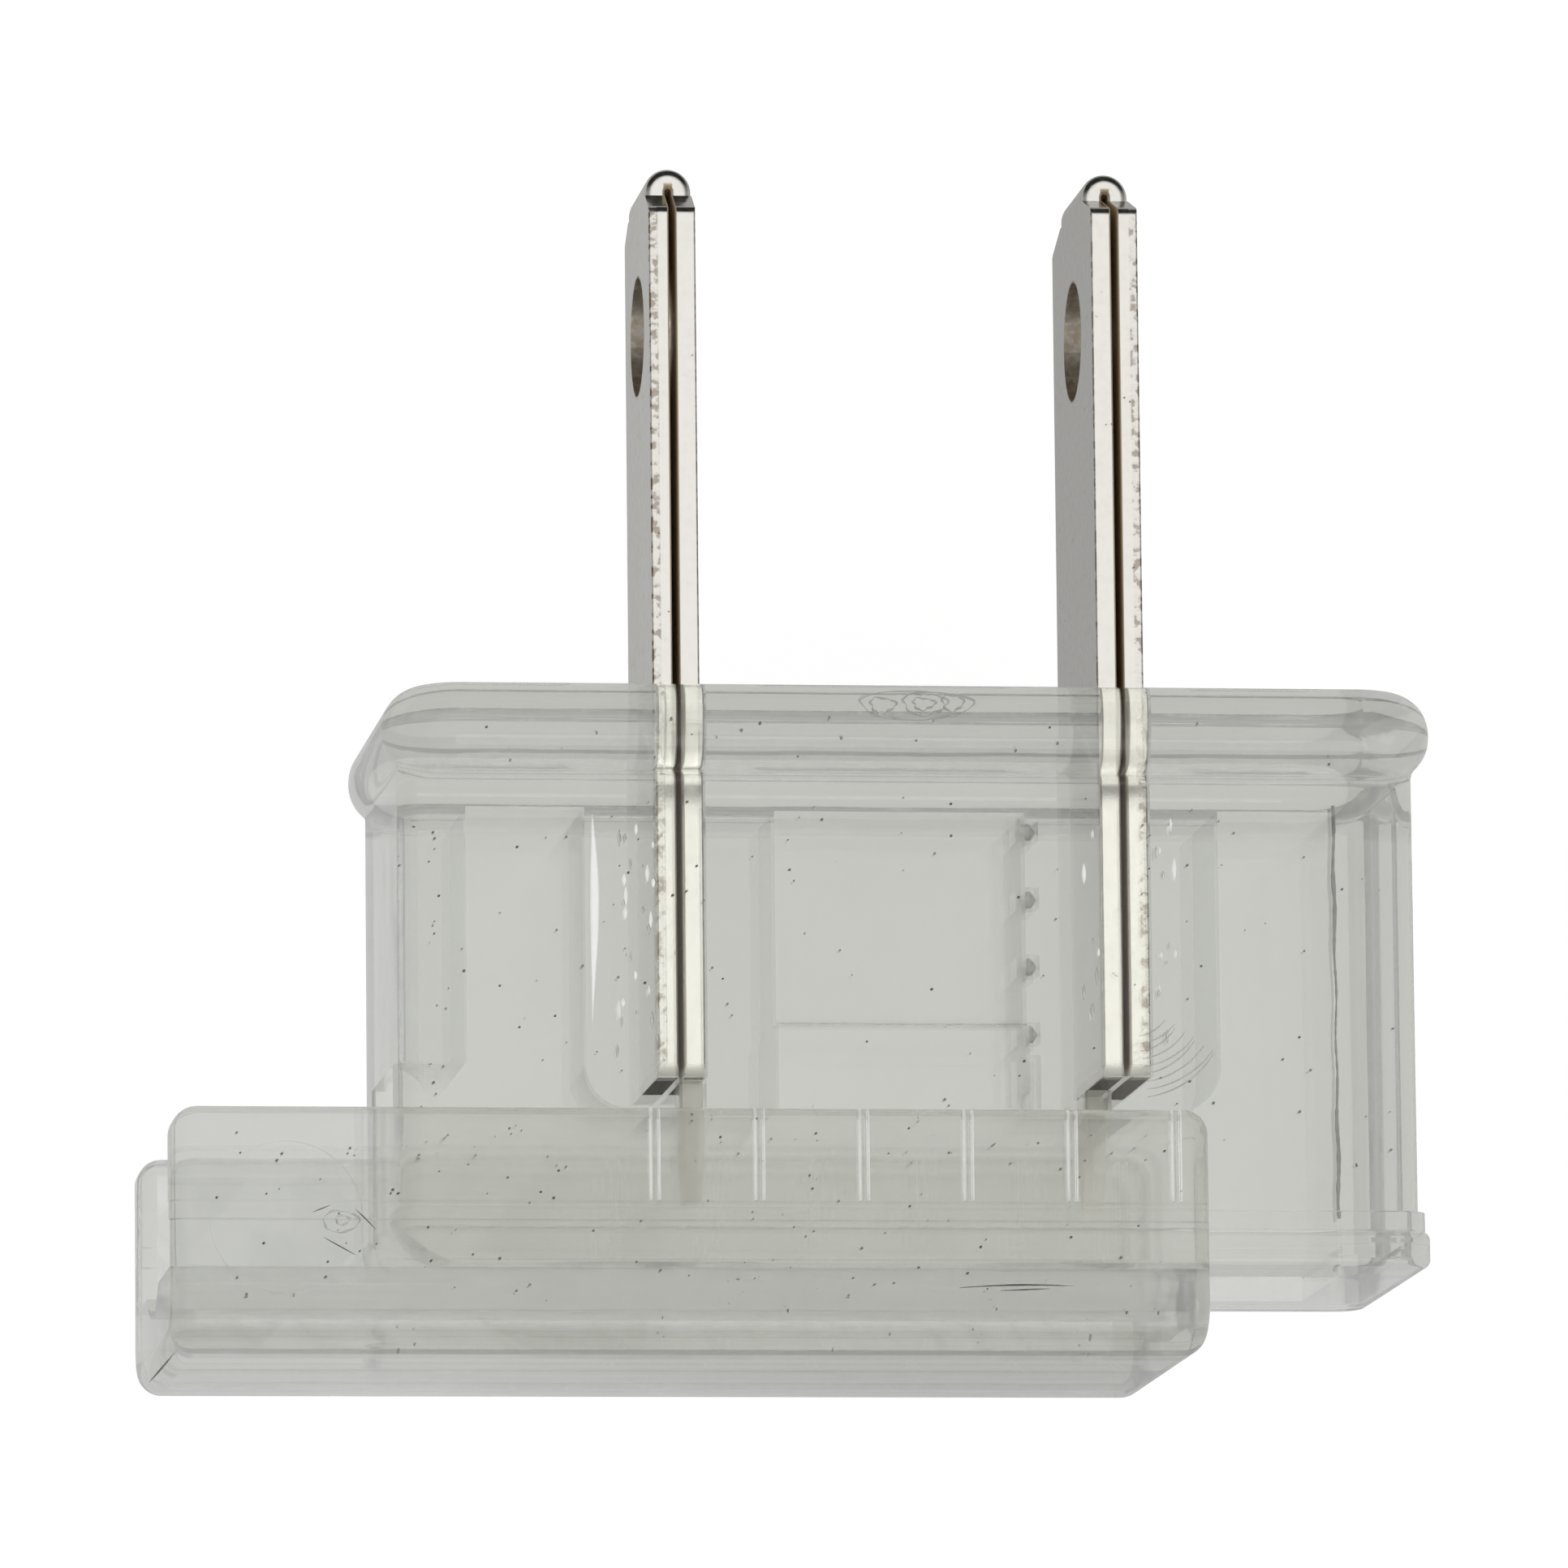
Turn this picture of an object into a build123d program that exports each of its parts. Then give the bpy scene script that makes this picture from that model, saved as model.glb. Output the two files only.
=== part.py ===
"""A clear, polarised straight blade plug for flat lamp cord, with a cover that slides along its foot.

The plug lies on its back. X runs along the plug, the way that the cover slides, and the cord comes in
from -X. Y is the way that the blades point. Z is up, away from the surface that the plug lies on. The
origin is on the mating face, midway between the two blades. Sizes are in millimetres, and a level or
depth is measured from the mating face towards the foot.
"""
import os

from build123d import *

# Blades
blade_pitch = 12.7
narrow_width = 6.35
wide_width = 7.94
strip_thickness = 0.58
fold_gap = 0.19
blade_reach = 15.65
neck_width = 4.4
shoulder_setback = 1.35
shoulder_height = 0.55
shoulder_radius = 0.25
tip_rounding = 0.26
eye_chamfer = 0.07
edge_rounding = 0.06
hole_diameter = 3.45
hole_setback = 4.55
leg_depth = 10.9
leg_corner = 0.35
prong_width = 1.5
prong_offset = 1.35
prong_point = 1.3

# Flange, the mating face and finger grip
flange_overhang = 0.45
flange_thickness = 2.46
flange_corner = 2.2
flange_edge = 1.18

# Housing below the flange
body_length = 29.1
body_depth = 11.4
body_height = 14.9
body_corner = 0.8
junction_radius = 0.35
step_overhang = 0.15
step_reach = 0.3
step_height = 0.55
rail_overhang = 0.25
rail_reach = 0.7
rail_height = 1.05
rail_corner = 1.0
rail_edge = 0.25
lead_in_radius = 2.05

# Pockets inside the housing
end_wall = 2.05
front_wall = 2.4
pocket_ceiling = 3.2
column_width = 5.5
column_corner = 1.2
ledge_thickness = 0.9
window_step = 0.7
window_step_radius = 0.3
window_mouth = 2.4
cord_entry_rise = 1.3
pit_count = 4
pit_size = 0.6
pit_pitch = 1.95
first_pit_drop = 0.3

# Fits
blade_gap = 0.05
blade_edge_gap = 0.1
prong_gap = 0.1
prong_tip_gap = 2.1
slide_gap = 0.15

# Slide cover
cover_shortfall = 0.2
cover_pulled_out = 6.55
cover_wall = 0.9
lip_height = 2.55
cover_floor_thickness = 2.4
cover_bottom_radius = 1.5
cover_end_radius = 0.7
cover_rim_radius = 0.3
cord_groove_radius = 3.4
cord_groove_depth = 0.8
thumb_disc_radius = 2.15
thumb_disc_recess = 0.12
thumb_disc_inset = 3.2
thumb_disc_margin = 0.05
lip_groove_radius = 0.14
lip_groove_spacing = 2.97
lip_groove_count = 6

# How far a cutting block reaches past the face that it opens, and how near two edges count as one
overcut = 0.5
near = 0.01

# Sizes that follow from the ones above
blade_thickness = 2 * strip_thickness + fold_gap
fold_centre = blade_reach - blade_thickness / 2
shoulder_level = blade_reach - shoulder_setback
column_depth = leg_depth + ledge_thickness
rail_level = body_height + step_height
foot_level = rail_level + rail_height
rail_length = body_length + 2 * rail_overhang
rail_depth = body_depth + 2 * rail_reach
step_depth = body_depth + 2 * step_reach
cover_length = rail_length - cover_shortfall
cover_depth = rail_depth + 2 * (slide_gap + cover_wall)
cover_rim_level = body_height - slide_gap - lip_height
cover_floor_level = foot_level + slide_gap
cover_middle = rail_length / 2 - cover_pulled_out - cover_length / 2
cover_left = cover_middle - cover_length / 2
flange_length = body_length + 2 * flange_overhang
flange_depth = cover_depth
pocket_half = body_depth / 2 - front_wall
pocket_end = body_length / 2 - end_wall
column_inner = blade_pitch / 2 - column_width / 2
column_outer = blade_pitch / 2 + column_width / 2
prong_tip_level = foot_level - prong_tip_gap

side_view = Plane(origin=(0, 0, 0), x_dir=(0, 0, 1), z_dir=(-1, 0, 0))


def box(x_range, y_range, z_range):
    """A plain block between the given limits along X, Y and Z."""
    ranges = (x_range, y_range, z_range)
    size = [high - low for low, high in ranges]
    middle = [(low + high) / 2 for low, high in ranges]
    return Pos(*middle) * Box(*size)


def block_along_y(length, depth, top, bottom, corner):
    """A block with rounded upright corners, between two levels."""
    plan = Plane.XZ.offset(top) * RectangleRounded(length, depth, corner)
    return extrude(plan, amount=bottom - top)


def edges_at(solid, axis, x=None, y=None, z=None):
    """The straight edges along one axis whose middle lies at the given distances from the origin."""
    chosen = []
    for edge in solid.edges().filter_by(axis):
        middle = edge.center()
        pairs = ((x, middle.X), (y, middle.Y), (z, middle.Z))
        if all(want is None or abs(abs(have) - want) < near for want, have in pairs):
            chosen.append(edge)
    return chosen


def side_outline(width):
    """The legs' outline seen along X: full width, drawn in by two shoulders to the neck below the fold."""
    half = width / 2
    neck = neck_width / 2
    points = [
        (-half, -leg_depth),
        (half, -leg_depth),
        (half, shoulder_level),
        (neck, shoulder_level + shoulder_height),
        (-neck, shoulder_level + shoulder_height),
        (-half, shoulder_level),
    ]
    outline = Polygon(*points, align=None)
    shoulders = [v for v in outline.vertices() if abs(v.Y - shoulder_level) < near]
    outline = fillet(shoulders, shoulder_radius)
    feet = outline.vertices().group_by(Axis.Y)[0]
    return fillet(feet, leg_corner)


def rounded_fold():
    """The narrow fold over the tip: a half-round bend, its outer edges worn round and its eye opened."""
    straight = fold_centre - shoulder_level
    legs = Pos(0, fold_centre - straight / 2) * Rectangle(blade_thickness, straight)
    slit = Pos(0, fold_centre - straight / 2) * Rectangle(fold_gap, straight)
    bend = Pos(0, fold_centre) * Circle(blade_thickness / 2)
    eye = Pos(0, fold_centre) * Circle(fold_gap / 2)
    fold = extrude(legs + bend - slit - eye, amount=neck_width / 2, both=True)
    fold = chamfer(edges_at(fold, Axis.Y, x=fold_gap / 2, z=neck_width / 2), eye_chamfer)
    return fillet(edges_at(fold, Axis.Y, x=blade_thickness / 2, z=neck_width / 2), tip_rounding)


def layer_centre(layer_side):
    """How far one layer of the folded strip is from the blade's middle."""
    return layer_side * (fold_gap + strip_thickness) / 2


def prong(layer_side, offset):
    """The tongue of one leg that goes on through the housing and pierces the cord."""
    half = prong_width / 2
    root = -leg_depth + leg_corner
    points = [
        (offset - half, root),
        (offset + half, root),
        (offset + half, -prong_tip_level + prong_point),
        (offset, -prong_tip_level),
        (offset - half, -prong_tip_level + prong_point),
    ]
    tongue = side_view * Polygon(*points, align=None)
    return Pos(layer_centre(layer_side), 0, 0) * extrude(tongue, amount=strip_thickness / 2, both=True)


def leg(layer_side, width):
    """One leg of the strip, its long edges worn round and its ends cut to the blade's outline."""
    strip = block_along_y(strip_thickness, width, -fold_centre, leg_depth, edge_rounding)
    outline = extrude(side_view * side_outline(width), amount=blade_thickness, both=True)
    return (Pos(layer_centre(layer_side), 0, 0) * strip) & outline


def make_blade(width, layer_side, offset):
    """One blade about the Y axis: two legs, the fold, the hole, and the prong on one of its legs."""
    blade = leg(-1, width) + leg(1, width) + rounded_fold()
    hole = Rot(0, 90, 0) * Cylinder(hole_diameter / 2, 2 * blade_thickness)
    blade -= Pos(0, blade_reach - hole_setback, 0) * hole
    return blade + prong(layer_side, offset)


def blade_slot(width, layer_side, offset):
    """The slot that a blade is pushed down into, and the hole in the ledge that its prong goes through."""
    half_width = width / 2 + blade_edge_gap
    half_thickness = blade_thickness / 2 + blade_gap
    slot = box((-half_thickness, half_thickness), (-leg_depth, overcut), (-half_width, half_width))
    middle = layer_centre(layer_side)
    half_prong = strip_thickness / 2 + prong_gap
    half_tongue = prong_width / 2 + prong_gap
    prong_hole = box(
        (middle - half_prong, middle + half_prong),
        (-column_depth - overcut, -leg_depth),
        (offset - half_tongue, offset + half_tongue),
    )
    return slot + prong_hole


def pocket(x_low, x_high, ceiling, floor, half=pocket_half):
    """An open space inside the housing between two levels."""
    return box((x_low, x_high), (-floor, -ceiling), (-half, half))


def column_pockets():
    """The spaces beside and between the two columns that hold the blades, all open towards the foot."""
    below = column_depth + overcut
    left = pocket(-pocket_end, -column_outer, pocket_ceiling, below)
    right = pocket(column_outer, pocket_end, pocket_ceiling, below)
    window = pocket(-column_inner, column_inner, pocket_ceiling, below, pocket_half - window_step)
    mouth = pocket(-column_inner, column_inner, column_depth - window_mouth, below)
    return [left, right, window + mouth]


def cord_channel():
    """The channel for the flat cord: open below and at -X, closed by the end wall at +X."""
    below = foot_level + overcut
    run = pocket(-pocket_end, pocket_end, column_depth, below)
    outside = -rail_length / 2 - overcut
    return run + pocket(outside, overcut - pocket_end, column_depth - cord_entry_rise, below)


def round_columns(housing):
    """Round the columns' outer lower corners and the step across the middle pocket."""
    corners = edges_at(housing, Axis.Z, x=column_outer, y=column_depth)
    housing = fillet(corners, column_corner)
    steps = edges_at(housing, Axis.X, y=column_depth - window_mouth, z=pocket_half - window_step)
    return fillet(steps, window_step_radius)


def column_pits():
    """Small square pits up the inner side of the wide blade's column, and a groove below them."""
    x_range = (column_inner - overcut, column_inner + pit_size)
    z_range = (-pit_size, pit_size)
    pits = []
    for i in range(pit_count):
        level = pocket_ceiling + first_pit_drop + i * pit_pitch
        pits.append(box(x_range, (-level - pit_size / 2, -level + pit_size / 2), z_range))
    pits.append(box(x_range, (-column_depth - overcut, -column_depth + window_mouth - pit_size), z_range))
    return pits


def make_foot():
    """The stepped foot: a band round the body and a wider rail, with a round lead-in at -X."""
    length = body_length + 2 * step_overhang
    step = block_along_y(length, step_depth, body_height, rail_level, body_corner)
    rail = block_along_y(rail_length, rail_depth, rail_level, foot_level, rail_corner)
    closed_end = rail.edges().filter_by(Axis.Z).group_by(Axis.X)[-1]
    foot = step + fillet(closed_end, rail_edge)
    centre_x = lead_in_radius - rail_length / 2
    centre_y = lead_in_radius - foot_level
    corner = box(
        (centre_x - lead_in_radius - overcut, centre_x),
        (centre_y - lead_in_radius - overcut, centre_y),
        (-rail_depth, rail_depth),
    )
    return foot - (corner - Pos(centre_x, centre_y, 0) * Cylinder(lead_in_radius, 2 * rail_depth))


def make_housing():
    """The moulded housing: rounded flange, hollow body with two columns, and the foot."""
    flange = block_along_y(flange_length, flange_depth, 0, flange_thickness, flange_corner)
    flange = fillet(flange.faces().filter_by(Axis.Y).edges(), flange_edge)
    body = block_along_y(body_length, body_depth, flange_thickness - flange_edge, body_height, body_corner)
    housing = flange + body + make_foot()
    junction = [
        edge
        for edge in housing.edges()
        if abs(edge.center().Y + flange_thickness) < near
        and abs(edge.center().Z) < body_depth / 2 + near
        and abs(edge.center().X) < body_length / 2 + near
    ]
    housing = fillet(junction, junction_radius)
    for space in column_pockets():
        housing -= space
    housing = round_columns(housing - cord_channel())
    for pit in column_pits():
        housing -= pit
    for x, width, layer_side, offset in blades.values():
        housing -= Pos(x, 0, 0) * blade_slot(width, layer_side, offset)
    return housing


def cover_section():
    """The cover's section across X: a floor, two walls, and lips that hook over the stepped foot."""
    outer_height = cover_floor_level + cover_floor_thickness - cover_rim_level
    section = Pos(0, -cover_rim_level - outer_height / 2) * Rectangle(cover_depth, outer_height)
    section = fillet(section.vertices().group_by(Axis.Y)[0], cover_bottom_radius)
    section = fillet(section.vertices().group_by(Axis.Y)[-1], cover_rim_radius)
    steps = [
        (body_depth, cover_rim_level - overcut, body_height - slide_gap),
        (step_depth, body_height - slide_gap, rail_level - slide_gap),
        (rail_depth, rail_level - slide_gap, cover_floor_level),
    ]
    for depth, top, low in steps:
        section -= Pos(0, -(top + low) / 2) * Rectangle(depth + 2 * slide_gap, low - top)
    return section


def lip_grooves():
    """Fine upright grooves down the inner face of each lip."""
    top = cover_rim_level - overcut
    low = body_height - slide_gap
    groove = Rot(90, 0, 0) * Cylinder(lip_groove_radius, low - top)
    first = -(lip_groove_count - 1) / 2 * lip_groove_spacing
    lip_face = body_depth / 2 + slide_gap
    return [
        Pos(first + i * lip_groove_spacing, -(top + low) / 2, side * lip_face) * groove
        for i in range(lip_groove_count)
        for side in (-1, 1)
    ]


def make_cover():
    """The slide cover, pulled out towards -X as far as the photographed one."""
    section_plane = Plane(origin=(cover_left, 0, 0), x_dir=(0, 0, -1), z_dir=(1, 0, 0))
    cover = extrude(section_plane * cover_section(), amount=cover_length)
    floor_underside = cover_floor_level + cover_floor_thickness
    end_edges = edges_at(cover, Axis.Z, y=floor_underside)
    cover = fillet(end_edges, cover_end_radius)
    groove_centre = cord_groove_radius - cord_groove_depth - cover_floor_level
    cord_groove = Rot(0, 90, 0) * Cylinder(cord_groove_radius, cover_length + 2 * overcut)
    cover -= Pos(cover_middle, groove_centre, 0) * cord_groove
    disc_level = floor_underside - cover_bottom_radius - thumb_disc_radius - thumb_disc_margin
    disc = Cylinder(thumb_disc_radius, 2 * thumb_disc_recess)
    cover -= Pos(cover_left + thumb_disc_inset, -disc_level, cover_depth / 2) * disc
    for groove in lip_grooves():
        cover -= groove
    return cover


blades = {
    "narrow_blade": (-blade_pitch / 2, narrow_width, 1, prong_offset),
    "wide_blade": (blade_pitch / 2, wide_width, -1, -prong_offset),
}
parts = {"housing": make_housing(), "slide_cover": make_cover()}
for name, (x, width, layer_side, offset) in blades.items():
    parts[name] = Pos(x, 0, 0) * make_blade(width, layer_side, offset)

os.makedirs("parts", exist_ok=True)
for name, solid in parts.items():
    export_step(solid, f"parts/{name}.step")
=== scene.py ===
# %% [markdown]
# This scene dresses a clear plastic lamp plug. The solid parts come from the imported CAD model, which
# is loaded first and never moved: the hollow housing, the cover that slides along its foot, and two
# folded brass blades with nickel plating. Everything is in metres. X runs along the plug, Y is the way
# that the blades point, and Z is up, because the plug lies on its back.

import math

import bpy
import numpy as np
from mathutils import Matrix, Vector


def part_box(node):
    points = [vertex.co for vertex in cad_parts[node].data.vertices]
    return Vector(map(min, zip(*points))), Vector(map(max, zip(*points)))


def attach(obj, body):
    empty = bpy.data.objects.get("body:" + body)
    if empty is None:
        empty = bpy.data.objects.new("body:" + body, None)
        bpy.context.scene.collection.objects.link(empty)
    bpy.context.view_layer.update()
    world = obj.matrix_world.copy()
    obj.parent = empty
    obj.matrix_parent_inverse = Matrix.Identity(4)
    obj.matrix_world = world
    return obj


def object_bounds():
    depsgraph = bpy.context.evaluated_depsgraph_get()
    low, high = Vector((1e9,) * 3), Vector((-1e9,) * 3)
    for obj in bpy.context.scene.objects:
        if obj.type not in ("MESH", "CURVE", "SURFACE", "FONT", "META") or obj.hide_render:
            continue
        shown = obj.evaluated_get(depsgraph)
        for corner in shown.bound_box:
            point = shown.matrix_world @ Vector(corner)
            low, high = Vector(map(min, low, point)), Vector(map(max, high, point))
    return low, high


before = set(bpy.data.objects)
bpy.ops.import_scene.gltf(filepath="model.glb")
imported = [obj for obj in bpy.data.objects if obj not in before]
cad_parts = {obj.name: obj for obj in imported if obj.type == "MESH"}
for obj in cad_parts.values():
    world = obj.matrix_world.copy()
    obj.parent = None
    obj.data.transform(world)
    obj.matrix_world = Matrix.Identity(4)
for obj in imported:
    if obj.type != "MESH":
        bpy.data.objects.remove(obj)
cad_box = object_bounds()
MM = 0.001
floor_level = cad_box[0].z
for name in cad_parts:
    low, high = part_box(name)
    print(name, "from", [round(v / MM, 2) for v in low], "to", [round(v / MM, 2) for v in high], "mm")

# %% [markdown]
# The photograph was taken from almost straight above, with a long lens, so parallel edges stay nearly
# parallel. A fit of known points gave where the camera stands: it leans 7 degrees towards -X and
# 8 degrees towards the foot, and looks from 387 mm away. Blender's camera looks along its own -Z, so
# its three axes go in as the columns of a rotation matrix.

# %% Camera at the photograph's viewing angle
lean_x, lean_y, roll = (math.radians(v) for v in (-6.986, -8.233, -0.577))
distance, focal_px, image_px, sensor_mm = 0.387363, 16547.037, 1932, 36
back = Vector((math.sin(lean_x) * math.cos(lean_y), math.sin(lean_y), math.cos(lean_x) * math.cos(lean_y)))
right = Vector((0, 1, 0)).cross(back).normalized()
up = back.cross(right)
image_right = right * math.cos(roll) + up * math.sin(roll)
image_up = up * math.cos(roll) - right * math.sin(roll)
origin_px_x, origin_px_y = 1087.557, 885.739
aside = (origin_px_x - image_px / 2) / focal_px * distance
above = -(origin_px_y - image_px / 2) / focal_px * distance
camera = bpy.data.objects.new("camera", bpy.data.cameras.new("camera"))
bpy.context.scene.collection.objects.link(camera)
camera.data.sensor_width = sensor_mm
camera.data.lens = focal_px / image_px * sensor_mm
camera.data.clip_start, camera.data.clip_end = 0.02, 10
place = -aside * image_right - above * image_up + distance * back
camera.matrix_world = Matrix.Translation(place) @ Matrix((image_right, image_up, back)).transposed().to_4x4()
bpy.context.scene.camera = camera
bpy.context.scene.view_settings.view_transform = "Standard"
print("camera at", [round(v, 4) for v in place], "with a", round(camera.data.lens, 1), "mm lens")

# %% [markdown]
# Materials are trees of nodes. Wiring them by hand takes many lines, so two small classes do it.
# `Wire` holds one output of a node, and plain arithmetic on it adds the Math nodes. `Finish` holds one
# material's tree, and its `node` method makes any other node, with its settings first and then the
# values or wires of its sockets.

# %% Two helpers for node trees
class Wire:
    """One output socket. Arithmetic with numbers or other wires adds Math nodes to its tree."""

    def __init__(self, socket):
        self.socket = socket

    def maths(self, operation, first, second):
        tree = self.socket.id_data
        node = tree.nodes.new("ShaderNodeMath")
        node.operation = operation
        for slot, value in zip(node.inputs, (first, second)):
            plug_in(tree, slot, value)
        return Wire(node.outputs[0])

    def __add__(self, other):
        return self.maths("ADD", self, other)

    def __radd__(self, other):
        return self.maths("ADD", other, self)

    def __sub__(self, other):
        return self.maths("SUBTRACT", self, other)

    def __rsub__(self, other):
        return self.maths("SUBTRACT", other, self)

    def __mul__(self, other):
        return self.maths("MULTIPLY", self, other)

    def __rmul__(self, other):
        return self.maths("MULTIPLY", other, self)

    def __abs__(self):
        return self.maths("ABSOLUTE", self, 0.0)


def plug_in(tree, slot, value):
    """Links a wire to a socket, or sets the socket to a plain value."""
    if isinstance(value, Wire):
        tree.links.new(value.socket, slot)
    else:
        slot.default_value = value


class Finish:
    """The node tree of a material or of the world."""

    def __init__(self, owner):
        owner.use_nodes = True
        self.tree = owner.node_tree
        self.tree.nodes.clear()

    def node(self, kind, settings=None, sockets=None, out=0):
        """Makes a node, applies its settings, then fills its sockets by name or number."""
        node = self.tree.nodes.new(kind)
        for key, value in (settings or {}).items():
            setattr(node, key, value)
        for key, value in (sockets or {}).items():
            plug_in(self.tree, node.inputs[key], value)
        return Wire(node.outputs[out]) if node.outputs else node

    def noise(self, where, scale, detail=2.0):
        """Grain of about 1 / scale metres, from 0 to 1."""
        values = {"Vector": where, "Scale": scale, "Detail": detail}
        return self.node("ShaderNodeTexNoise", {"noise_dimensions": "3D"}, values)

    def blend(self, share, first, second):
        """A mix of two colours."""
        return self.node("ShaderNodeMix", {"data_type": "RGBA"}, {0: share, 6: first, 7: second}, out=2)

    def between(self, value, low, high, out_low=0.0, out_high=1.0):
        """A smooth step from out_low to out_high as the value goes from low to high."""
        settings = {"interpolation_type": "SMOOTHSTEP"}
        sockets = {0: value, 1: low, 2: high, 3: out_low, 4: out_high}
        return self.node("ShaderNodeMapRange", settings, sockets)

    def axes(self, vector):
        """The three numbers in a vector."""
        split = self.node("ShaderNodeSeparateXYZ", None, {0: vector}).socket.node
        return [Wire(s) for s in split.outputs]

    def square_root(self, value):
        """The square root of a value."""
        return self.node("ShaderNodeMath", {"operation": "SQRT"}, {0: value})

    def mix(self, share, first, second):
        """A mix of two shaders."""
        return self.node("ShaderNodeMixShader", None, {0: share, 1: first, 2: second})


def new_finish(name):
    """A new material, its tree, and the piece's own coordinates in metres."""
    material = bpy.data.materials.new(name)
    finish = Finish(material)
    where = finish.node("ShaderNodeTexCoord", out=3)
    return material, finish, where


print("helpers are ready")

# %% [markdown]
# The plug lies on a plain pale floor. Paper looks white in a photograph because it is lit well, and a
# renderer's floor would need so much light for that that the plug would burn out. So the camera sees
# mostly plain white, with a share of lit paper that takes the shadow. Through the plastic one sees a
# painted shadow: a flat pale grey stands for the paper right under the plug, in the plug's own soft
# shade. In the metal one sees a painted reflection of the paper beside it, painted darker between the
# blades and painted dark for the unlit far end of the table beyond their tips.

# %% Floor
# A point of the disc is radius * (cos a, sin a), and the radii stand closer together near the plug.
floor_radius = 0.16
floor_rings, spokes = 24, 96
ring_radius = np.linspace(0, 1, floor_rings + 1)[1:] ** 1.5 * floor_radius
spoke_angle = np.arange(spokes) / spokes * 2 * np.pi
disc_x, disc_y = (np.outer(ring_radius, part(spoke_angle)) for part in (np.cos, np.sin))
ring_points = np.stack([disc_x, disc_y, np.full_like(disc_x, floor_level)], -1)
floor_points = np.concatenate([[[0, 0, floor_level]], ring_points.reshape(-1, 3)])
ring, spoke = np.meshgrid(np.arange(floor_rings - 1), np.arange(spokes), indexing="ij")
inner, outer, following = ring * spokes, (ring + 1) * spokes, (spoke + 1) % spokes
quads = np.stack([inner + spoke, outer + spoke, outer + following, inner + following], -1).reshape(-1, 4) + 1
first_ring = np.arange(spokes)
fan = np.stack([np.zeros(spokes, int), first_ring + 1, (first_ring + 1) % spokes + 1], -1)
floor_mesh = bpy.data.meshes.new("floor")
floor_mesh.from_pydata(floor_points.tolist(), [], fan.tolist() + quads.tolist())
floor = bpy.data.objects.new("floor", floor_mesh)
bpy.context.scene.collection.objects.link(floor)

paper, paper_tree, paper_where = new_finish("white_paper")
by_camera, by_clear, by_mirror = (
    paper_tree.node("ShaderNodeLightPath", out=name)
    for name in ("Is Camera Ray", "Is Transmission Ray", "Is Glossy Ray")
)
floor_x, floor_y, _ = paper_tree.axes(paper_where)
between_blades = 4 * MM
# Painted reflection for glossy rays: painted shade darkens the paper between the blades, and beyond the tips
# it is painted nearly black.
painted_shade_between_blades = paper_tree.between(abs(floor_x - between_blades), 3 * MM, 18 * MM, 0.42, 0.56)
painted_reflection_shade = painted_shade_between_blades * paper_tree.between(floor_y, 32 * MM, 55 * MM, 1.0, 0.05)
white, plain_share = (1, 1, 1, 1), 0.88
lit_paper = paper_tree.node("ShaderNodeBsdfDiffuse", None, {"Color": (0.88, 0.88, 0.88, 1)})
plain_white = paper_tree.node("ShaderNodeEmission", None, {"Color": white, "Strength": 1.08})
to_camera = paper_tree.mix(plain_share, lit_paper, plain_white)
painted_reflection_grey = paper_tree.blend(painted_reflection_shade, (0, 0, 0, 1), white)
bounced = paper_tree.blend(by_mirror, (0.6, 0.6, 0.6, 1), painted_reflection_grey)
# Painted shadow for rays through the plastic: a flat pale grey stands for the paper in the plug's shade.
painted_shade_colour = paper_tree.blend(by_clear, bounced, (0.665, 0.670, 0.650, 1))
to_others = paper_tree.node("ShaderNodeEmission", None, {"Color": painted_shade_colour, "Strength": 1.0})
paper_tree.node("ShaderNodeOutputMaterial", None, {0: paper_tree.mix(by_camera, to_others, to_camera)})
floor_mesh.materials.append(paper)
print("floor of", len(floor_mesh.polygons), "faces at", round(floor_level / MM, 2), "mm")

# %% [markdown]
# Shiny metal and clear plastic show the room, not the lamps alone. The room is worked out from the
# direction that a ray leaves in. Overhead hangs a white screen, tilted a little towards the foot's
# side. Low down the room is dim, and past the blades' tips it is dark, which draws the dark rim round
# the tips. Through the plastic the room is a paler grey. Rays from the camera see plain white. A ray
# bent by plastic counts as a glossy ray too, so the test for it comes first.

# %% The room around the plug
world = bpy.data.worlds.new("room")
bpy.context.scene.world = world
room = Finish(world)
_, across, height = room.axes(room.node("ShaderNodeTexCoord", out=0))
to_eye, through, off_shine = (
    room.node("ShaderNodeLightPath", out=name)
    for name in ("Is Camera Ray", "Is Transmission Ray", "Is Glossy Ray")
)
low_room = room.between(across, 0.15, 0.55, 0.38, 0.02)
screen = room.between(height - 0.45 * across, 0.45, 0.90, low_room, 1.24)
clear_room = room.between(height, 0.80, 0.97, 0.52, 1.75)
not_bent = off_shine * screen + (1 - off_shine) * 0.62
level = to_eye + (1 - to_eye) * (through * clear_room + (1 - through) * not_bent)
background = room.node("ShaderNodeBackground", None, {"Color": white, "Strength": level})
room.node("ShaderNodeOutputWorld", None, {0: background})
print("room of", len(room.tree.nodes), "nodes")


# %% Soft lamps
def soft_lamp(name, azimuth, elevation, away, size, watts):
    """A square lamp aimed at the plug's middle. Azimuth 0 is from -Y, the foot's side, and 90 from +X."""
    lamp = bpy.data.objects.new(name, bpy.data.lights.new(name, "AREA"))
    lamp.data.shape, lamp.data.size, lamp.data.energy = "SQUARE", size, watts
    a, e = math.radians(azimuth), math.radians(elevation)
    towards = Vector((math.sin(a) * math.cos(e), -math.cos(a) * math.cos(e), math.sin(e)))
    lamp.location = towards * away
    lamp.rotation_euler = towards.to_track_quat("Z", "Y").to_euler()
    bpy.context.scene.collection.objects.link(lamp)
    print(name, "is", away, "m away and", size, "m wide")


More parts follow.
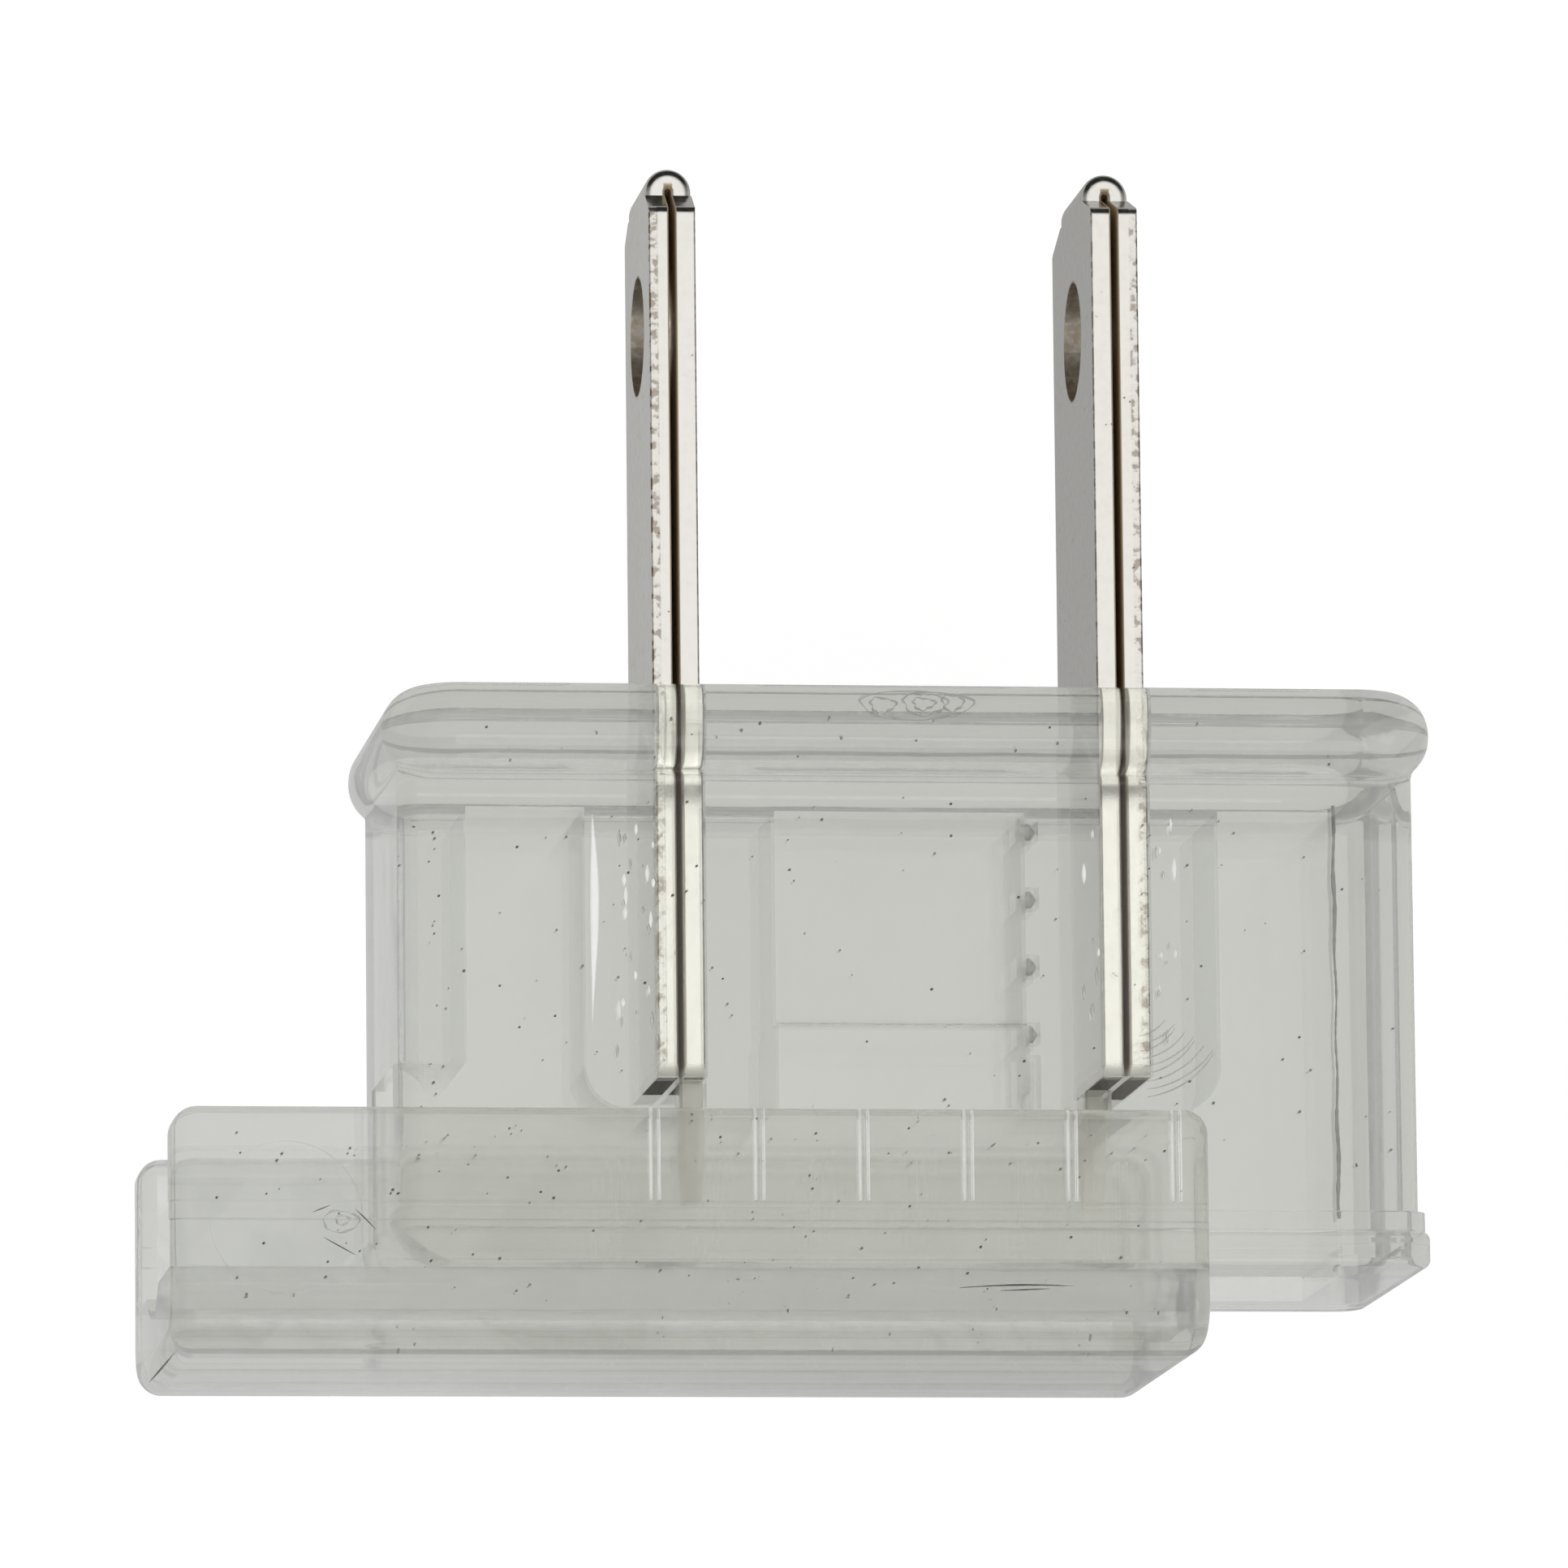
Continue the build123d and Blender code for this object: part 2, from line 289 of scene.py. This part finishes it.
soft_lamp("foot_side_lamp", azimuth=8, elevation=48, away=0.5, size=0.26, watts=0.45)
soft_lamp("right_side_lamp", azimuth=70, elevation=40, away=0.7, size=0.30, watts=0.40)

# %% [markdown]
# The housing and the cover are moulded in clear plastic, slightly hazy and slightly grey. Three things
# make it look soft rather than like cut glass. Its skin dims the light a little at each face. A part
# of the light goes straight through, as the Alpha says, because haze hides how far the rest is bent.
# And the tint is a volume, so that thick places look darker than thin ones. Its faces are never quite
# flat either: the mould's polish, flow and shrinkage leave shallow waves. Light passes such a shader a
# dozen times on its way to the camera, so it stays short, and the small marks further down are pieces.

# %% Clear plastic
plastic_ior = 1.36
wave_scale, wave_height = 420, 1.1e-5


def clear_plastic(name, skin, tint_density):
    """Plastic with shallow waves in its faces, a skin that dims light, and a tint in its depth."""
    material, finish, where = new_finish(name)
    waves = finish.noise(where, wave_scale, 0.0)
    bump = {"Strength": 1.0, "Distance": wave_height, "Height": waves}
    normal = finish.node("ShaderNodeBump", None, bump)
    warm_grey = np.array((0.0, 0.005, -0.015, 0.0))
    darker, lighter = (warm_grey + (skin + step, skin + step, skin + step, 1) for step in (-0.02, 0.02))
    streaks = finish.blend(waves, darker, lighter)
    sockets = {"Base Color": streaks, "Roughness": 0.0, "IOR": plastic_ior, "Transmission Weight": 1.0}
    clear = finish.node("ShaderNodeBsdfPrincipled", None, {**sockets, "Alpha": 0.74, "Normal": normal})
    tint = {"Color": (0.50, 0.51, 0.43, 1), "Density": tint_density}
    depth = finish.node("ShaderNodeVolumeAbsorption", None, tint)
    finish.node("ShaderNodeOutputMaterial", None, {"Surface": clear, "Volume": depth})
    return material


def dress(node_names, material):
    """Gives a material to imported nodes. Their meshes stay as they are."""
    for node_name in node_names:
        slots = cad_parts[node_name].data.materials
        slots.clear()
        slots.append(material)
    print(material.name, "on", ", ".join(node_names))


dress(["housing"], clear_plastic("clear_housing_plastic", 0.90, 32.0))
dress(["slide_cover"], clear_plastic("clear_cover_plastic", 0.84, 52.0))

# %% [markdown]
# Moulding and use leave small marks: the scars where the plastic was let into the moulds, flow lines,
# bubbles beside the blades, scratches, and dark grit. Painted light and shade join them: frosted lines
# with a painted glow in the lips, painted white glints, and painted shade. All of them are thin round
# threads or drops, so one function makes them. It carries a circle along a path, as a hose is drawn,
# and lets its radius change on the way. A drop is a short thread that swells and shrinks again.

# %% Threads and drops
def thread(path, radii, sides=6, flat=1.0, closed=False):
    """Points and faces of a circle carried along a path.

    At each path point the circle lies square to the path: point = path + radius * (side * cos a + rise *
    flat * sin a), where side is level and rise is square to both side and path.
    """
    path, radii = np.asarray(path, float), np.asarray(radii, float)
    if closed:
        ahead = np.roll(path, -1, 0) - np.roll(path, 1, 0)
    else:
        ahead = np.gradient(path, axis=0)
    ahead /= np.linalg.norm(ahead, axis=1, keepdims=True)
    side = np.cross(ahead, (0.0, 0.0, 1.0))
    side /= np.linalg.norm(side, axis=1, keepdims=True)
    rise = np.cross(ahead, side) * flat
    angle = (np.arange(sides) / sides * 2 * np.pi)[None, :, None]
    circle = side[:, None] * np.cos(angle) + rise[:, None] * np.sin(angle)
    points = (path[:, None] + radii[:, None, None] * circle).reshape(-1, 3)
    count = len(path)
    i, j = np.meshgrid(np.arange(count if closed else count - 1), np.arange(sides), indexing="ij")
    here, there, turned = i * sides, (i + 1) % count * sides, (j + 1) % sides
    faces = np.stack([here + j, here + turned, there + turned, there + j], -1).reshape(-1, 4).tolist()
    if not closed:
        faces.append(list(range(sides))[::-1])
        faces.append(list(range((count - 1) * sides, count * sides)))
    return points, faces


def drop(centre, along, length, width, sides=6):
    """A drop of the given length and width: its radius follows half a wave of a sine."""
    share = np.linspace(0.04, 0.96, 7)
    path = np.asarray(centre) + np.outer((share - 0.5) * length, np.asarray(along, float))
    return thread(path, np.sin(share * np.pi) * width / 2, sides)


def marks(name, threads, body, material):
    """Joins threads, given in millimetres, into one piece that rides on a body."""
    points, faces = [], []
    for thread_points, thread_faces in threads:
        first = sum(len(p) for p in points)
        points.append(thread_points)
        faces += [[first + index for index in face] for face in thread_faces]
    mesh = bpy.data.meshes.new(name)
    mesh.from_pydata((np.concatenate(points) * MM).tolist(), [], faces)
    mesh.polygons.foreach_set("use_smooth", np.ones(len(faces), bool))
    mesh.materials.append(material)
    piece = bpy.data.objects.new(name, mesh)
    bpy.context.scene.collection.objects.link(piece)
    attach(piece, body)
    print(name, "of", len(threads), "threads and", len(faces), "faces on the", body)


# %% Finishes of the marks
def mark_finish(name, dark, light, transmission=0.0, ior=plastic_ior, alpha=1.0, rough=0.4, glow=0.0):
    """A finish that wanders between two colours. The glow is painted light, which makes a mark brighter than
    its lighting would.
    """
    material, finish, where = new_finish(name)
    colour = finish.blend(finish.noise(where, 2600), (*dark, 1), (*light, 1))
    sockets = {"Base Color": colour, "Roughness": rough, "IOR": ior, "Transmission Weight": transmission}
    sockets.update({"Alpha": alpha, "Emission Color": colour, "Emission Strength": glow})
    shader = finish.node("ShaderNodeBsdfPrincipled", None, sockets)
    finish.node("ShaderNodeOutputMaterial", None, {0: shader})
    return material


bubble_ior = 0.735
# The scarred finish serves the real gate scars, and also the painted shade in the pits.
scar_and_shade_finish = mark_finish("scarred_plastic_and_painted_shade", (0.40, 0.40, 0.38), (0.90, 0.90, 0.88), 0.3, alpha=0.62)
line_finish = mark_finish("flow_line_plastic", (0.60, 0.60, 0.58), (0.90, 0.90, 0.88), 0.3, alpha=0.45)
bubble_finish = mark_finish("air_bubble", (0.90, 0.90, 0.90), (1.0, 1.0, 1.0), 1.0, ior=bubble_ior, rough=0.0)
# The frosted finish glows: painted light that makes its marks show as bright white highlights.
frost_and_glow_finish = mark_finish("frosted_plastic_painted_glow", (0.90, 0.90, 0.89), (0.98, 0.98, 0.97), alpha=0.8, glow=0.28)
# This dark finish serves real grit and scratches, and also painted shade along the pocket corner.
dirt_and_shade_finish = mark_finish("grey_dirt_and_painted_shade", (0.05, 0.045, 0.04), (0.30, 0.29, 0.26), alpha=0.9, rough=0.7)

# %% [markdown]
# The gate scar on the flange lies over its rounded edge. A point on that edge is found from an angle
# round the edge, measured from the mating face, and rings are ellipses drawn on that curved surface.

# %% Gate scars and flow lines
ring_sides = 60
turn = np.linspace(0, 2 * np.pi, ring_sides, endpoint=False)


def ellipse(centre, half_length, half_width, wobble):
    """Two numbers along and across for each turn: an ellipse whose reach wavers by the wobble."""
    reach = 1 + wobble * (np.sin(3 * turn + 1) + 0.6 * np.sin(7 * turn))
    return centre[0] + half_length * reach * np.cos(turn), centre[1] + half_width * reach * np.sin(turn)


def on_flange_edge(along, round_edge):
    """Points just inside the flange's edge of 1.18 mm radius, so that threads drawn there sink in."""
    edge_radius, edge_level = 1.13, 6.27
    angle = np.radians(65) - round_edge / edge_radius
    return np.stack([along, edge_radius * (np.cos(angle) - 1), edge_level + edge_radius * np.sin(angle)], -1)


flange_rings = [
    ((0.0, 0.0), 1.62, 0.50, 0.035),
    ((0.25, 0.02), 0.62, 0.38, 0.09),
    ((0.22, 0.0), 0.30, 0.20, 0.15),
    ((-0.95, -0.05), 0.35, 0.25, 0.12),
    ((1.05, 0.05), 0.30, 0.28, 0.10),
]
scar_radii = 0.024 + 0.014 * np.sin(5 * turn)
scar_threads = [thread(on_flange_edge(*ellipse(*ring)), scar_radii, closed=True) for ring in flange_rings]
marks("flange_gate_scar", scar_threads, "plug", scar_and_shade_finish)

arc_steps, flow_level = 14, 5.60
arc = np.radians(np.linspace(-82, -34, arc_steps))
arc_radii = 0.008 + 0.016 * np.sin(np.linspace(0.1, 3.0, arc_steps))
arcs = []
for number, arc_reach in enumerate(np.arange(1.1, 2.9, 0.22)):
    sway = 0.12 * math.sin(2.1 * number)
    arc_x, arc_y = 6.35 + (arc_reach + sway) * np.cos(arc), -8.8 + arc_reach * np.sin(arc)
    arcs.append(thread(np.stack([arc_x, arc_y, np.full(arc_steps, flow_level)], -1), arc_radii, sides=4))
marks("flow_lines", arcs, "plug", line_finish)

disc_face = 7.33
thumb_rings = [((-16.41, -15.46), 0.50, 0.30, 0.05), ((-16.36, -15.42), 0.19, 0.13, 0.10)]
thumb_threads = []
for ring in thumb_rings:
    ring_x, ring_y = ellipse(*ring)
    path = np.stack([ring_x, ring_y, np.full(ring_sides, disc_face)], -1)
    thumb_threads.append(thread(path, 0.020 + 0.014 * np.sin(4 * turn), closed=True))
marks("cover_gate_scar", thumb_threads, "cover", scar_and_shade_finish)

# %% [markdown]
# Bubbles and grit are scattered with a seeded generator, so that each run puts them in the same
# places. Bubbles are drops of air inside the columns, drawn out the way that the plastic flowed. Air
# inside plastic bends light the other way round, so the index of their finish is one over the plastic's.

# %% Bubbles and grit
rng = np.random.default_rng(12)
bubbles = []
column_spans = ((-8.3, -7.25, 26), (7.25, 7.8, 12), (4.9, 5.45, 8))
for low_x, high_x, count in column_spans:
    for x, y, z, size in zip(
        rng.uniform(low_x, high_x, count), rng.uniform(-10.4, -3.6, count),
        rng.uniform(3.5, 5.4, count), rng.uniform(0.05, 0.13, count),
    ):
        bubbles.append(drop((x, y, z), (0, 1, 0), size * rng.uniform(2.5, 6.0), size))
marks("column_bubbles", bubbles[::2], "plug", bubble_finish)
# Every other drop takes the frosted finish with its painted glow, so it shows as a painted white glint rather
# than as air.
marks("column_froth_painted_glints", bubbles[1::2], "plug", frost_and_glow_finish)


def grit(count, x_range, y_range, z_range):
    """Grains of dark grit at seeded places within a box."""
    low, high = np.transpose((x_range, y_range, z_range))
    spread = rng.uniform(low, high, (count, 3))
    sizes = rng.uniform(0.03, 0.085, count)
    return [drop(centre, (0.8, 0.6, 0), size * 1.4, size, sides=4) for centre, size in zip(spread, sizes)]


housing_grit = grit(150, (-14.0, 14.0), (-13.5, -3.0), (3.5, 5.6))
housing_grit += grit(24, (-13.5, 13.5), (-2.0, -0.8), (5.6, 7.2))
housing_grit += grit(26, (-14.5, -13.2), (-14.0, -3.0), (3.5, 5.5))
marks("housing_grit", housing_grit, "plug", dirt_and_shade_finish)
cover_grit = grit(120, (-20.5, 7.5), (-17.2, -12.4), (6.1, 7.2))
cover_grit += grit(30, (-20.5, 7.5), (-18.6, -17.0), (4.0, 5.9))
marks("cover_grit", cover_grit, "cover", dirt_and_shade_finish)

# %% [markdown]
# The other marks are single threads: painted shade along the corner of the right pocket, a painted
# white glint beside the left column, frosted lines with a painted glow down the lip grooves, and
# scratches on the cover.

# %% Painted shade in a corner, a painted glint, painted groove highlights and scratches
# Painted shade: a dark thread along the inner corner of the right pocket.
corner_shade_steps = 90
down = np.linspace(0, 1, corner_shade_steps)
corner_shade_path = np.stack([12.46 + 0.02 * np.sin(31 * down), -3.0 - 11.9 * down, 3.22 + 0.03 * np.sin(17 * down)], -1)
corner_shade_radii = 0.030 + 0.026 * rng.uniform(0, 1, corner_shade_steps) + 0.014 * np.sin(9 * down)
marks("pocket_corner_painted_shade", [thread(corner_shade_path, corner_shade_radii, sides=5)], "plug", dirt_and_shade_finish)
# Painted shade: grey drops darken the four pits in the right column.
pit_levels = -3.5 - 1.95 * np.arange(4)
pit_painted_shade = [drop((3.95, level, 0.0), (1, 0, 0), 0.5, 0.55, sides=8) for level in pit_levels]
marks("pit_painted_shade", pit_painted_shade, "plug", scar_and_shade_finish)

# Painted glint: a flat white thread with the frosted finish's glow stands for a highlight beside the left
# column.
glint_steps = 24
down = np.linspace(0, 1, glint_steps)
glint_path = np.stack([-9.0 + 0.05 * np.sin(4 * down), -3.6 - 5.9 * down, np.full(glint_steps, 5.0)], -1)
glint_radii = 0.01 + 0.13 * np.sin(down ** 0.8 * np.pi) ** 1.5
marks("column_painted_glint", [thread(glint_path, glint_radii, flat=0.2)], "plug", frost_and_glow_finish)

groove_count, first_groove, groove_spacing, groove_steps = 6, -7.425, 2.97, 8
# White threads with the frosted finish's painted glow stand for highlights along the edges of the lip
# grooves.
groove_highlights = []
for number in range(groove_count):
    for side, edge in ((-1, -0.12), (-1, 0.12), (1, -0.12), (1, 0.12)):
        x = np.full(groove_steps, first_groove + groove_spacing * number + edge)
        y, z = np.linspace(-12.35, -14.70, groove_steps), np.full(groove_steps, side * 5.90)
        groove_highlights.append(thread(np.stack([x, y, z], -1), np.full(groove_steps, 0.045), sides=5))
marks("lip_groove_painted_highlights", groove_highlights, "cover", frost_and_glow_finish)


def scratch(start, end, radius, bow=0.0):
    """A thin thread from start to end that bows to one side."""
    share = np.linspace(0, 1, 16)[:, None]
    path = np.asarray(start) * (1 - share) + np.asarray(end) * share
    path[:, 1] += bow * np.sin(share[:, 0] * np.pi)
    return thread(path, radius * (0.3 + np.sin(share[:, 0] * np.pi)), sides=4)


scratches = [
    scratch((1.04, -17.28, 7.40), (4.27, -17.22, 7.40), 0.020, 0.05),
    scratch((2.2, -17.36, 7.40), (3.6, -17.30, 7.40), 0.016),
    scratch((-16.9, -15.9, 7.33), (-16.0, -16.4, 7.33), 0.014),
    scratch((-16.0, -15.1, 7.33), (-15.4, -15.7, 7.33), 0.014),
    scratch((-17.2, -15.2, 7.33), (-16.7, -15.0, 7.33), 0.012),
    scratch((-20.95, -18.98, 4.6), (-21.05, -18.99, -2.6), 0.030),
]
marks("cover_scratches", scratches, "cover", dirt_and_shade_finish)

# %% [markdown]
# The blades are brass strip with bright nickel plating, folded double. Nickel is a slightly warm grey
# mirror. Rolling and handling leave fine lines along the strip and small brown specks where the
# plating is thin. The slit between the two legs and the wall of the punched hole are darker, browner
# and duller, and the cutter left a ragged burr along one edge of each blade.

# %% Nickel plating
hole_middle, hole_radius, edge_blur = 11.1 * MM, 1.77 * MM, 0.03 * MM


def nickel_plating(name, middle, half_width, burr_side):
    """Plating for one blade, whose middle and half width are in metres. The burr is on its -X or +X leg."""
    material, plating, where = new_finish(name)
    x, y, z = plating.axes(where)
    from_middle = x - middle
    stretched = plating.node("ShaderNodeMapping", None, {"Vector": where, "Scale": (9000, 700, 9000)})
    lines = plating.noise(stretched, 1.0)
    dimples = plating.noise(where, 4200)
    face = plating.between(abs(z), half_width - 0.09 * MM, half_width - 0.04 * MM)
    burr = plating.between(from_middle * burr_side, 0.40 * MM, 0.46 * MM) * face
    rim = plating.between(abs(from_middle), 0.61 * MM, 0.67 * MM) * face
    below_tip = plating.between(y, 15.15 * MM, 15.25 * MM, 1.0, 0.0)
    # The slit between the two legs is darker brown, duller and less metallic.
    slit = plating.between(abs(from_middle), 0.10 * MM, 0.15 * MM, 1.0, 0.0) * below_tip
    prong = plating.between(y, -10.75 * MM, -10.45 * MM, 1.0, 0.0)
    hole_y = y - hole_middle
    from_hole = plating.square_root(hole_y * hole_y + z * z)
    hole = plating.between(from_hole, hole_radius - edge_blur, hole_radius + edge_blur, 1.0, 0.0)
    brown = plating.between(dimples, 0.74, 0.78)
    worn_burr = burr * plating.between(dimples, 0.50, 0.61) * 0.6
    worn = brown + worn_burr + rim * plating.between(dimples, 0.45, 0.55) * 0.8
    colour = plating.blend(worn, (0.67, 0.655, 0.61, 1), (0.20, 0.145, 0.09, 1))
    colour = plating.blend(slit, colour, (0.46, 0.35, 0.21, 1))
    colour = plating.blend(prong, colour, (0.92, 0.89, 0.82, 1))
    # The wall of the punched hole is darker and duller.
    darker_hole_wall = hole * plating.between(dimples, 0.35, 0.65, 0.5, 1.0)
    colour = plating.blend(darker_hole_wall, colour, (0.33, 0.28, 0.21, 1))
    rough = plating.between(dimples, 0.3, 0.8, 0.14, 0.26)
    rough = rough + slit * 0.3 + hole * 0.2 + burr * 0.1 + prong * 0.3
    metal = 1 - slit * 0.8 * (1 - prong) - prong
    relief = lines * 1.0e-6 + dimples * (1.1e-6 + burr * 1.6e-5 + hole * 8e-6)
    bumps = plating.node("ShaderNodeBump", None, {"Strength": 1.0, "Distance": 1.0, "Height": relief})
    sockets = {"Base Color": colour, "Metallic": metal, "Roughness": rough, "Normal": bumps}
    plated = plating.node("ShaderNodeBsdfPrincipled", None, sockets)
    plating.node("ShaderNodeOutputMaterial", None, {0: plated})
    return material


dress(["narrow_blade"], nickel_plating("narrow_blade_plating", -6.35 * MM, 3.175 * MM, -1))
dress(["wide_blade"], nickel_plating("wide_blade_plating", 6.35 * MM, 3.97 * MM, 1))
